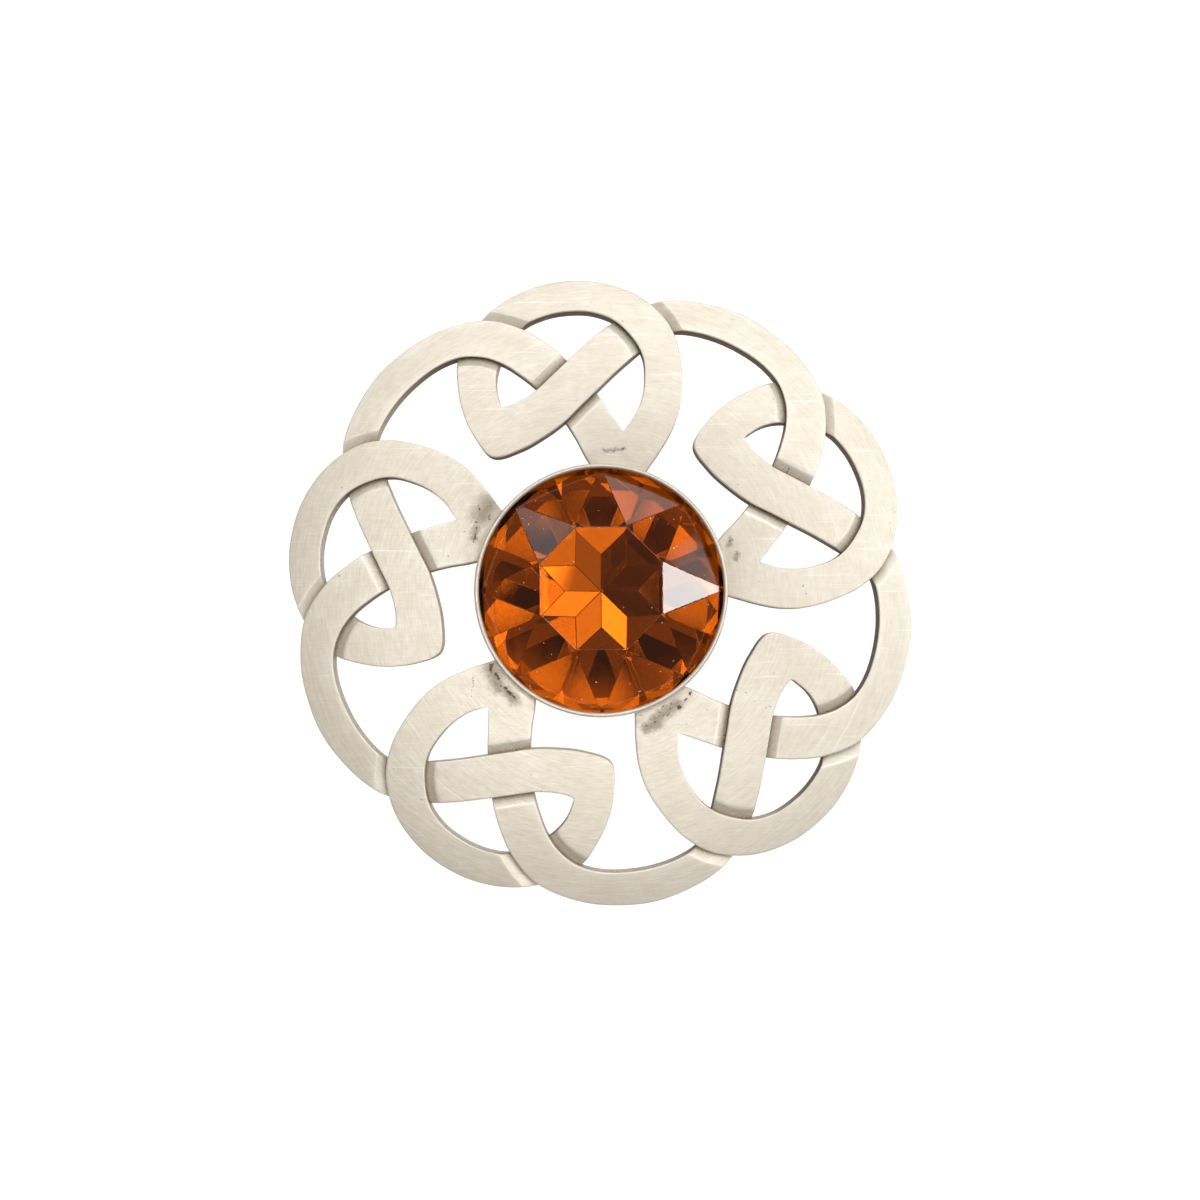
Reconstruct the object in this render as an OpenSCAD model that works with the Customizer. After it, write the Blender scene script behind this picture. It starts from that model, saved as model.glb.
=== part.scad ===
// Plaid brooch: a pierced ring of interlace cast in one with a round setting,
// a faceted amber stone and the pin finding on its back.
// Millimetres. The origin is on the brooch's axis, on the surface that it lies on.

/* [Knotwork] */
// Diameter of the circle round the brooch's lobes
overall_d = 76; // [74:0.5:80]
// Thickness of the cast strands
metal_t = 2; // [1.6:0.1:2.4]
// Radius at which the domed ring stands highest
crown_r = 28; // [26:1:30]
// How far the ring falls from there to its outer edge
rim_fall = 1; // [0.6:0.1:1.4]
// How far a strand dips where it passes under another
dip = 0.7; // [0.4:0.1:1]
// Length of the slope at each side of a dip
ramp = 1.2; // [0.8:0.1:1.6]
// How far the ring's highest line stands above the lip of the setting
ring_over_lip = 0.8; // [0:0.1:1.5]

/* [Stone] */
// Diameter of the stone
stone_d = 30; // [28:0.5:30]
// Width of the octagonal table across its flats
table_d = 14.4; // [13:0.1:16]
// Height of the crown above the girdle
crown_h = 4; // [3:0.1:5]
// Depth of the girdle, which the facets scallop
girdle_h = 1.6; // [1.4:0.1:2]
// Depth of the pavilion below the girdle
pavilion_h = 5; // [4.5:0.1:6]
// Radius of the inner corners of the star that is cut on the pavilion
star_in = 4.5; // [4:0.1:5]
// Radius of the star's points
star_out = 7.9; // [7.4:0.1:8.4]

/* [Setting] */
// Thickness of the wall round the girdle
wall = 0.6; // [0.5:0.1:0.8]
// Width of the lip that is burnished over the stone's edge
lip_w = 0.9; // [0.8:0.1:1.1]
// Height of the lip above the girdle
lip_h = 0.85; // [0.7:0.05:1]
// Radius of the flat at the back of the cup
back_r = 8; // [7:0.5:10]
// Thickness of the cup's floor
floor_t = 0.8; // [0.6:0.1:1]

/* [Pin] */
// Length of the bar that carries the hinge and the catch
bar_l = 29; // [26:0.5:30]
// Width of the bar
bar_w = 5; // [4:0.5:6]
// Thickness of the bar
bar_t = 0.9; // [0.7:0.1:1.2]
// Height of the hinge and the catch below the bar
ear_h = 4.1; // [3.5:0.1:5]
// Width of the hinge and the catch, which the brooch rests on
ear_w = 6; // [5:0.5:7]
// Length of the hinge and of the catch along the bar
ear_l = 3.4; // [3:0.1:4]
// Diameter of the pin stem
stem_d = 1.2; // [1:0.1:1.4]
// Height of the stem's middle above the surface that the brooch lies on
stem_z = 1.5; // [1.3:0.1:1.8]

/* [Hidden] */
$fn = 96;

// Number of times that the unit of interlace repeats, and the turn between two of them
UNITS = 5;
TURN = 360 / UNITS;
// Clearance between the stone and its seat, and between the bar and the cup that it is fixed to
seat_gap = 0.05;
// Room that the cup leaves round the stone, below it and under the lip
cone_gap = 0.2;
// Small overlap where one solid runs into another
lap = 0.3;

pewter = [0.80, 0.78, 0.72];
amber = [0.78, 0.30, 0.04];
steel = [0.66, 0.66, 0.64];

stone_r = stone_d / 2;
table_r = table_d / 2;
cup_r = stone_r + seat_gap + wall;
lip_r = cup_r - lip_w;

// The stone is cut with eight facets to a round. The star's facets rise from the culet, and
// the outer ones rise more steeply from its corners to the bottom of the girdle.
FACETS = 8;
half = 180 / FACETS;
steeper = (star_out - star_in * cos(half)) / (star_out * cos(half) - star_in);
star_slope = pavilion_h / (star_in * cos(half) + (stone_r * cos(half) - star_in) * steeper);
outer_slope = star_slope * steeper;
star_in_z = star_in * cos(half) * star_slope;
star_out_z = star_out * star_slope;

// Heights, from the surface upwards
bar_z = ear_h;
cup_z = bar_z + bar_t + seat_gap;
culet_z = cup_z + floor_t + cone_gap;
girdle_z = culet_z + pavilion_h + girdle_h;
lip_z = girdle_z + lip_h;
ring_z = lip_z + ring_over_lip;

// The unit of interlace, drawn for the top unit of a brooch 76 mm across. Each row is one
// section across the strand: the point on its outer edge and the point on its inner edge.
drawn_d = 76;
OX = 0;
OY = 1;
IX = 2;
IY = 3;
// From the foot on the setting, under the bar, over the return and round the rim to where
// the strand passes under the next unit's loop
ARC = [
    [5.6, 15.6, 0.2, 13.2],
    [3.1, 18.9, -1.7, 16.1],
    [1.3, 21.4, -3.0, 18.5],
    [-0.4, 23.9, -4.5, 20.8],
    [-2.3, 26.4, -6.2, 23.0],
    [-4.2, 28.1, -7.9, 24.6],
    [-6.7, 30.1, -9.8, 26.1],
    [-9.6, 31.8, -11.9, 27.4],
    [-13.6, 32.9, -14.4, 28.2],
    [-17.8, 32.3, -17.3, 28.1],
    [-22.1, 30.4, -20.5, 26.6],
    [-26.7, 26.7, -23.9, 23.6],
    [-29.8, 21.9, -26.3, 20.1],
    [-31.2, 17.6, -27.2, 17.0],
    [-31.3, 13.8, -26.9, 14.0],
];
// From under the loop down the bar to the pointed tip, back by the return and round the
// loop to the foot
LOOP = [
    [3.4, 33.9, 6.6, 30.3],
    [1.1, 32.1, 4.3, 28.3],
    [-1.2, 30.2, 2.0, 26.3],
    [-3.6, 28.0, -0.2, 24.2],
    [-5.6, 26.1, -2.3, 22.2],
    [-7.4, 24.4, -4.3, 20.3],
    [-9.1, 23.2, -6.7, 18.6],
    [-10.7, 22.4, -9.6, 17.0],
    [-11.8, 22.2, -13.0, 16.1],
    [-12.2, 23.1, -15.2, 18.5],
    [-12.5, 24.6, -16.6, 21.6],
    [-12.4, 26.2, -17.2, 24.9],
    [-11.9, 27.9, -17.2, 28.2],
    [-10.9, 30.3, -16.0, 31.3],
    [-9.0, 32.2, -13.6, 33.8],
    [-6.6, 33.3, -10.3, 36.1],
    [-4.0, 33.8, -6.0, 37.6],
    [-1.0, 33.7, -0.9, 37.8],
    [1.8, 32.6, 4.0, 36.3],
    [4.0, 30.4, 7.7, 33.3],
    [5.2, 28.1, 9.5, 29.7],
    [5.4, 25.6, 10.0, 25.8],
    [5.1, 23.3, 9.8, 22.4],
    [4.2, 21.1, 8.9, 19.6],
    [2.8, 19.2, 7.6, 17.3],
    [1.5, 16.8, 6.2, 15.3],
    [0.8, 14.4, 5.0, 13.6],
];
// The row past the tip, where the outline is cut in two because the loop runs over its own start
PAST_TIP = 9;
// The crossings, where the lower strand dips: the middle, the heading of the upper strand,
// half its width and how far the dip reaches along it to each side. Then the stretch of the
// upper strand that is kept whole: its table, its first row and its last.
CENTRE = 0;
HEADING = 1;
HALF_W = 2;
REACH = 3;
UPPER = 4;
FIRST = 5;
LAST = 6;
CROSSINGS = [
    [[-4.1, 24.1], 41, 2.6, 3.1, LOOP, 2, 6],
    [[-13.2, 30.35], -10, 2.45, 6.3, ARC, 5, 10],
    [[5.4, 31.8], -52, 2.3, 3.4, LOOP, 17, 21],
];
// How far the cut of a dip runs on past the top of its slope, as a factor of the slope's length
run_out = 1.4;
// Rounding of the lip: how far in from the wall's face, and how far below the lip's top
IN = 0;
DOWN = 1;
LIP_CURVE = [
    [0, 0.35],
    [0.15, 0.1],
    [0.4, 0],
    [0.6, 0.05],
    [lip_w, 0.3],
];
// Straight stretch of the cup's wall below the ring
cup_wall_h = 1.6;

// Points that a smooth edge takes between two sections
STEPS = 3;

// Height of the domed ring at a radius
function ring_top(r) = ring_z - rim_fall * pow((r - crown_r) / (drawn_d / 2 - crown_r), 2);

// A smooth curve through the points, by the cubic of each four neighbours
function spot(p, i) = p[max(0, min(len(p) - 1, i))];
function cubic(a, b, c, d, t) =
    0.5 * (2 * b + (c - a) * t + (2 * a - 5 * b + 4 * c - d) * t * t + (3 * b - a - 3 * c + d) * t * t * t);
function smooth(p) = concat(
    [for (i = [0 : len(p) - 2]) for (k = [0 : STEPS - 1])
        cubic(spot(p, i - 1), spot(p, i), spot(p, i + 1), spot(p, i + 2), k / STEPS)],
    [p[len(p) - 1]]
);
function backwards(p) = [for (i = [len(p) - 1 : -1 : 0]) p[i]];

// Outline of a strand between two of its sections
function band(table, first, last) = let (
    outer = smooth([for (row = table) [row[OX], row[OY]]]),
    inner = smooth([for (row = table) [row[IX], row[IY]]]),
    stretch = [for (i = [first * STEPS : last * STEPS]) i]
) concat([for (i = stretch) outer[i]], backwards([for (i = stretch) inner[i]])) * overall_d / drawn_d;

// The outline of all strands together, pierced as the brooch is
module ring_plan() {
    for (unit = [0 : UNITS - 1]) rotate(unit * TURN) {
        polygon(band(ARC, 0, len(ARC) - 1));
        polygon(band(LOOP, 0, PAST_TIP));
        polygon(band(LOOP, PAST_TIP, len(LOOP) - 1));
    }
}

// The gentle dome that the ring is cast to
module dome() {
    radii = [cup_r - lap, 20, 24, crown_r, 32, 35.5, overall_d / 2 + 1];
    rotate_extrude() polygon(concat(
        [for (r = radii) [r, ring_top(r) - metal_t]],
        backwards([for (r = radii) [r, ring_top(r)]])
    ));
}

// Two slopes that let the lower strand pass under the upper one
module dip_cut(centre, heading, half_w, reach) {
    side = [-sin(heading), cos(heading)];
    left = ring_top(norm(centre + side * (half_w + ramp / 2)));
    right = ring_top(norm(centre - side * (half_w + ramp / 2)));
    past = ramp * run_out;
    rise = dip * (run_out - 1);
    translate([centre[0], centre[1], 0]) rotate([90, 0, heading + 90])
        linear_extrude(2 * reach, center = true)
        polygon([
            [half_w + past, left + rise],
            [half_w, left - dip],
            [-half_w, right - dip],
            [-half_w - past, right + rise],
            [-half_w - past, ring_z + 1],
            [half_w + past, ring_z + 1],
        ]);
}

module dips() {
    for (unit = [0 : UNITS - 1]) rotate(unit * TURN) for (c = CROSSINGS) difference() {
        dip_cut(c[CENTRE] * overall_d / drawn_d, c[HEADING], c[HALF_W], c[REACH]);
        linear_extrude(ring_z + 2) polygon(band(c[UPPER], c[FIRST], c[LAST]));
    }
}

// The round setting: a cup with a closed, tapered back and a lip over the stone's edge
module cup() {
    ledge_z = girdle_z - girdle_h - cone_gap;
    rotate_extrude() polygon(concat(
        [
            [0, cup_z],
            [back_r, cup_z],
            [cup_r, ring_top(cup_r) - metal_t - cup_wall_h],
        ],
        [for (p = LIP_CURVE) [cup_r - p[IN], lip_z - p[DOWN]]],
        [
            [lip_r, girdle_z + cone_gap],
            [stone_r + seat_gap, girdle_z + cone_gap],
            [stone_r + seat_gap, ledge_z],
            [star_out, culet_z + star_out_z - cone_gap],
            [star_in, culet_z + star_in_z - cone_gap],
            [0, culet_z - cone_gap],
        ]
    ));
}

module knotwork() color(pewter) {
    difference() {
        intersection() {
            dome();
            linear_extrude(ring_z + 1) ring_plan();
        }
        dips();
    }
    cup();
}

// A block whose lower face is a plane that falls outwards from height z at distance x
module facet_cut(x, z, slope) {
    far = 2 * stone_d;
    translate([x, 0, z]) rotate([0, atan(slope), 0])
        translate([-1, -far / 2, 0]) cube([far, far, far / 2]);
}

// Crown: eight facets from the table's edges and eight between them from its corners.
// Pavilion: an eight-pointed star round the culet, and eight facets from it to the girdle.
module stone() color(amber) {
    // The corner facets start just outside the table's corners. They narrow the edge facets to
    // points that lie just beyond the girdle.
    corner_r = table_r / cos(half) + 0.05;
    point_r = stone_r + 0.1;
    // Depth of the point that the small flat culet takes away
    culet = 0.06;
    edge_slope = crown_h / (stone_r - table_r);
    corner_slope = edge_slope * (point_r - table_r) / (point_r * cos(half) - corner_r);
    bottom = -pavilion_h - girdle_h;
    translate([0, 0, girdle_z]) difference() {
        translate([0, 0, bottom + culet]) cylinder(r = stone_r, h = crown_h - bottom - culet);
        for (k = [0 : FACETS - 1]) rotate(k * 2 * half) {
            facet_cut(table_r, crown_h, edge_slope);
            rotate(half) facet_cut(corner_r, crown_h, corner_slope);
            translate([0, 0, bottom]) mirror([0, 0, 1]) {
                rotate(half) facet_cut(0, 0, star_slope);
                facet_cut(star_in, -star_in_z, outer_slope);
            }
        }
    }
}

// The finding: a bar with a hinge block, a catch and a pin stem, in one plain piece
module brooch_pin() color(steel) {
    ear_x = (bar_l - ear_l) / 2;
    stem_r = stem_d / 2;
    slot_r = stem_r + cone_gap;
    tip_r = 0.1;
    tip_l = ear_l * 0.6;
    translate([-bar_l / 2, -bar_w / 2, bar_z]) cube([bar_l, bar_w, bar_t]);
    translate([-ear_x - ear_l / 2, -ear_w / 2, 0]) cube([ear_l, ear_w, bar_z + lap]);
    difference() {
        translate([ear_x - ear_l / 2, -ear_w / 2, 0]) cube([ear_l, ear_w, bar_z + lap]);
        translate([ear_x - ear_l, 0, stem_z]) rotate([0, 90, 0]) cylinder(r = slot_r, h = 2 * ear_l);
        translate([ear_x - ear_l, 0, stem_z - slot_r]) cube([2 * ear_l, ear_w, 2 * slot_r]);
    }
    translate([-ear_x, 0, stem_z]) rotate([0, 90, 0]) {
        cylinder(r = stem_r, h = 2 * ear_x);
        translate([0, 0, 2 * ear_x]) cylinder(r1 = stem_r, r2 = tip_r, h = tip_l);
    }
}

knotwork();
stone();
brooch_pin();
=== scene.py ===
# %% [markdown]
# # A plaid brooch, cast and set
# This lesson dresses a plaid brooch: a ring of interlace cast in pewter, a large amber stone
# in a round setting, and the pin finding behind it. The solids come packed as a frame, in
# metres, and every piece made here stays where the frame says.

# %% Load the frame
import math

import bmesh
import bpy
import numpy as np
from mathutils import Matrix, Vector


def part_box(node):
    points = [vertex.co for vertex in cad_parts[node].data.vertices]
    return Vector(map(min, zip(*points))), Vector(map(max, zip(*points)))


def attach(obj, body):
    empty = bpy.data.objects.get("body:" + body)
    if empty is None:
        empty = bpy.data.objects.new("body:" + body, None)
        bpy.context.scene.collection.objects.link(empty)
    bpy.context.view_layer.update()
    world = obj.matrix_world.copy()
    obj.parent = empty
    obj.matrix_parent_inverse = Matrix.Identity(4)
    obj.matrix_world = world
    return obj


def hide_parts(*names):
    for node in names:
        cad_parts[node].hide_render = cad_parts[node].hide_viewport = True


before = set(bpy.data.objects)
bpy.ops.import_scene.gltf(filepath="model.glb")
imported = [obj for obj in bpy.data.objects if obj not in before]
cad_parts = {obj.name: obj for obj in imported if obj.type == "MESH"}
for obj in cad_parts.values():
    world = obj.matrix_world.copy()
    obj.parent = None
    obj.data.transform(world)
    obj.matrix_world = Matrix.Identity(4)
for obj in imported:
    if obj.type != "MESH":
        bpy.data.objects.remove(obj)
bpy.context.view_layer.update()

scene = bpy.context.scene
print("nodes:", sorted(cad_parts))

# %% [markdown]
# ## Sizes
# The strands are drawn in millimetres, the unit that a jeweller works in, and shrunk to metres
# at the end. The main heights come from the frame's own boxes, so the new surfaces lie close to
# the solids that they stand for. Only the setting's wall is a little narrower than the solid's.

# %% Sizes from the frame
MM = 0.001
ring_low, ring_high = [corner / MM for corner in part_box("knotwork")]
stone_low, stone_high = [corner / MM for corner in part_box("stone")]

UNITS = 5
TURN = math.tau / UNITS
RING_Z = ring_high.z
RIM_R = 38.0
CROWN_R = 28.0
RIM_FALL = 1.0
METAL = 2.0
DIP = 0.7
RAMP = 1.2

CROWN_H = 4.0
GIRDLE_H = 1.6
SETTING_W = 0.35
RING_OVER_LIP = 0.8
BACK_R = 8.0
STONE_R = (stone_high.x - stone_low.x) / 2
GIRDLE_Z = stone_high.z - CROWN_H
CUP_R = STONE_R + SETTING_W
CUP_Z = ring_low.z
LIP_Z = RING_Z - RING_OVER_LIP


def ring_top(reach):
    """The height of the domed ring's top, at a distance from the axis."""
    return RING_Z - RIM_FALL * ((reach - CROWN_R) / (RIM_R - CROWN_R)) ** 2


print(f"ring top {RING_Z:.2f} mm, lip {LIP_Z:.2f} mm, girdle {GIRDLE_Z:.2f} mm, cup radius {CUP_R:.2f} mm")

# %% [markdown]
# ## Helpers for node trees
# Every tree below is a chain of small nodes. `put` adds one, sets its properties and fills its
# inputs, and a socket given as a value becomes a link. `calc` is the same for a Math node, and
# the other three are for vectors, scaling and ramps.

# %% Helpers for node trees
def put(tree, kind, inputs=None, **settings):
    node = tree.nodes.new(kind)
    for name, value in settings.items():
        setattr(node, name, value)
    for key, value in (inputs or {}).items():
        if isinstance(value, bpy.types.NodeSocket):
            tree.links.new(value, node.inputs[key])
        else:
            node.inputs[key].default_value = value
    return node


def calc(tree, operation, *values, clamp=False):
    inputs = dict(enumerate(values))
    return put(tree, "ShaderNodeMath", inputs, operation=operation, use_clamp=clamp).outputs[0]


def vector_calc(tree, operation, *values, out=0):
    inputs = dict(enumerate(values))
    return put(tree, "ShaderNodeVectorMath", inputs, operation=operation).outputs[out]


def scaled(tree, vector, factor):
    node = put(tree, "ShaderNodeVectorMath", {0: vector}, operation="SCALE")
    if isinstance(factor, bpy.types.NodeSocket):
        tree.links.new(factor, node.inputs["Scale"])
    else:
        node.inputs["Scale"].default_value = factor
    return node.outputs[0]


def ramp_map(tree, value, low, high, to_low=0.0, to_high=1.0, smooth=False):
    node = put(tree, "ShaderNodeMapRange", {0: value, 1: low, 2: high, 3: to_low, 4: to_high})
    node.interpolation_type = "SMOOTHSTEP" if smooth else "LINEAR"
    return node.outputs[0]

# %% [markdown]
# ## The plan of one unit
# Five equal units make the ring, and two strands make a unit. Each row below is one section
# across a strand: its point on the outer edge, its point on the inner edge, how round each
# edge is (0 where two strands run together), and whether the strand may dip there.

# %% Section tables
OX, OY, IX, IY, ROUND_O, ROUND_I, MAY_DIP = range(7)
ARC = [
    [5.6, 15.6, 0.2, 13.2, 0, 1, 1],
    [3.1, 18.9, -1.7, 16.1, 0, 1, 1],
    [1.3, 21.4, -3.0, 18.5, 1, 1, 1],
    [-0.4, 23.9, -4.5, 20.8, 1, 1, 1],
    [-2.3, 26.4, -6.2, 23.0, 1, 1, 1],
    [-4.2, 28.1, -7.9, 24.6, 1, 1, 1],
    [-6.7, 30.1, -9.8, 26.1, 1, 1, 1],
    [-9.6, 31.8, -11.9, 27.4, 1, 1, 1],
    [-13.6, 32.9, -14.4, 28.2, 1, 1, 1],
    [-17.8, 32.3, -17.3, 28.1, 1, 1, 1],
    [-22.1, 30.4, -20.5, 26.6, 1, 1, 1],
    [-26.7, 26.7, -23.9, 23.6, 1, 1, 1],
    [-29.8, 21.9, -26.3, 20.1, 1, 1, 1],
    [-31.2, 17.6, -27.2, 17.0, 1, 1, 1],
    [-31.3, 13.8, -26.9, 14.0, 1, 1, 1],
]
LOOP = [
    [3.4, 33.9, 6.6, 30.3, 1, 1, 1],
    [1.1, 32.1, 4.3, 28.3, 1, 1, 1],
    [-1.2, 30.2, 2.0, 26.3, 1, 1, 1],
    [-3.6, 28.0, -0.2, 24.2, 1, 1, 0],
    [-5.6, 26.1, -2.3, 22.2, 1, 1, 0],
    [-7.4, 24.4, -4.3, 20.3, 1, 1, 0],
    [-9.1, 23.2, -6.7, 18.6, 1, 1, 0],
    [-10.7, 22.4, -9.6, 17.0, 1, 1, 0],
    [-11.8, 22.2, -13.0, 16.1, 1, 1, 0],
    [-12.2, 23.1, -15.2, 18.5, 1, 1, 1],
    [-12.5, 24.6, -16.6, 21.6, 1, 1, 1],
    [-12.4, 26.2, -17.2, 24.9, 1, 1, 1],
    [-11.9, 27.9, -17.2, 28.2, 1, 1, 1],
    [-10.9, 30.3, -16.0, 31.3, 1, 1, 1],
    [-9.0, 32.2, -13.6, 33.8, 1, 1, 1],
    [-6.6, 33.3, -10.3, 36.1, 1, 1, 1],
    [-4.0, 33.8, -6.0, 37.6, 1, 1, 0],
    [-1.0, 33.7, -0.9, 37.8, 1, 1, 0],
    [1.8, 32.6, 4.0, 36.3, 1, 1, 0],
    [4.0, 30.4, 7.7, 33.3, 1, 1, 0],
    [5.2, 28.1, 9.5, 29.7, 1, 1, 0],
    [5.4, 25.6, 10.0, 25.8, 1, 1, 0],
    [5.1, 23.3, 9.8, 22.4, 1, 1, 0],
    [4.2, 21.1, 8.9, 19.6, 1, 1, 0],
    [2.8, 19.2, 7.6, 17.3, 0, 1, 0],
    [1.5, 16.8, 6.2, 15.3, 0, 1, 0],
    [0.8, 14.4, 5.0, 13.6, 0, 1, 0],
]
TURN_ROW = 13
print("rows:", len(ARC), "in the arc,", len(LOOP), "in the loop")

# %% [markdown]
# ## The edge curves and what lies above
# A strand is stretched between two edge curves. Their points carry the roundness of the edge
# as a height and the dip as a radius, so one curve holds all that the tree has to know. Where
# a strand passes under another, the tree measures its distance from a flat plan of that one.

# %% Edge curves
def edge_curve(name, table, x_column, y_column, round_column):
    curve = bpy.data.curves.new(name, "CURVE")
    curve.dimensions = "3D"
    spline = curve.splines.new("POLY")
    spline.points.add(len(table) - 1)
    for point, row in zip(spline.points, table):
        point.co = (row[x_column], row[y_column], row[round_column], 1)
        point.radius = max(row[MAY_DIP], 0.001)
    obj = bpy.data.objects.new(name, curve)
    scene.collection.objects.link(obj)
    return obj


def smooth_rows(table, first, last, steps=8):
    rows = np.array(table, float)[:, :4]
    result = []
    for i in range(first, last):
        a, b, c, d = (rows[min(max(k, 0), len(rows) - 1)] for k in (i - 1, i, i + 1, i + 2))
        for t in np.arange(steps) / steps:
            result.append(0.5 * (2 * b + (c - a) * t + (2 * a - 5 * b + 4 * c - d) * t**2
                                 + (3 * b - a - 3 * c + d) * t**3))
    result.append(rows[last])
    return np.array(result)


def plan_mesh(name, stretches):
    """Flat strips of quads: each stretch is a table, its first row, its last row and a turn."""
    verts, faces = [], []
    for table, first, last, turn in stretches:
        rows = smooth_rows(table, first, last)
        start = len(verts)
        for row in rows:
            for x, y in (row[:2], row[2:]):
                verts.append((x * math.cos(turn) - y * math.sin(turn),
                              x * math.sin(turn) + y * math.cos(turn), 0))
        faces += [(k, k + 1, k + 3, k + 2) for k in range(start, len(verts) - 2, 2)]
    mesh = bpy.data.meshes.new(name)
    mesh.from_pydata(verts, [], faces)
    obj = bpy.data.objects.new(name, mesh)
    scene.collection.objects.link(obj)
    return obj


over_arc = plan_mesh("over_arc", [(LOOP, 2, 6, 0), (LOOP, 17, 21, TURN)])
over_loop = plan_mesh("over_loop", [(LOOP, 17, 21, 0), (ARC, 5, 10, 0)])
print("plans of the upper strands:", len(over_arc.data.polygons), len(over_loop.data.polygons), "faces")

# %% [markdown]
# ## The section of a strand
# Cast and linished metal has flat faces, but no edge stays sharp: the top edges are rounded
# over about a third of a millimetre and the face falls away a little towards them. Each row
# gives the share of the width from the inner edge, a step from there towards the outer edge,
# and how far below the top the point lies. Metal runs round the section once.

# %% Section
SHARE, STEP, DROP = range(3)
TOP_EDGE = [(0.02, 0.3), (0.03, 0.13), (0.06, 0.06), (0.11, 0.025), (0.18, 0.012), (0.32, 0.008)]
SECTION = [(0, 0.02, 1.1), (0, 0.02, 0.95)] + [(0, step, drop) for step, drop in TOP_EDGE]
SECTION += [(share, 0, 0.006 * abs(share * 2 - 1)) for share in (0.22, 0.32, 0.41, 0.5, 0.59, 0.68, 0.78)]
SECTION += [(1, -step, drop) for step, drop in reversed(TOP_EDGE)] + [(1, -0.02, 0.95), (1, -0.02, 1.1)]
SECTION += [(1, -0.02, 1.85), (1, -0.17, METAL), (0.5, 0, METAL), (0, 0.17, METAL), (0, 0.02, 1.85)]
section_mesh = bpy.data.meshes.new("section")
section_mesh.from_pydata(SECTION, [], [])
section = bpy.data.objects.new("section", section_mesh)
scene.collection.objects.link(section)
print("points round the section:", len(SECTION))

# %% [markdown]
# ## A tree that stretches a strand between two edges
# The tree lays out a grid with one column of points for each section, then moves every point
# to its place: along by its column, across by the section's share, down by the drop, the dip
# and the dome of the ring. The first and last columns shrink to a point and close the ends.
# Last it makes the turned copies, realizes them and sets the metal.

# %% Strand tree
ROW_STEPS = 10
END_DROP = METAL * 0.6
EDGE_DEPTH = 0.7
UNDERSIDE_DIP = 0.08


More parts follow.
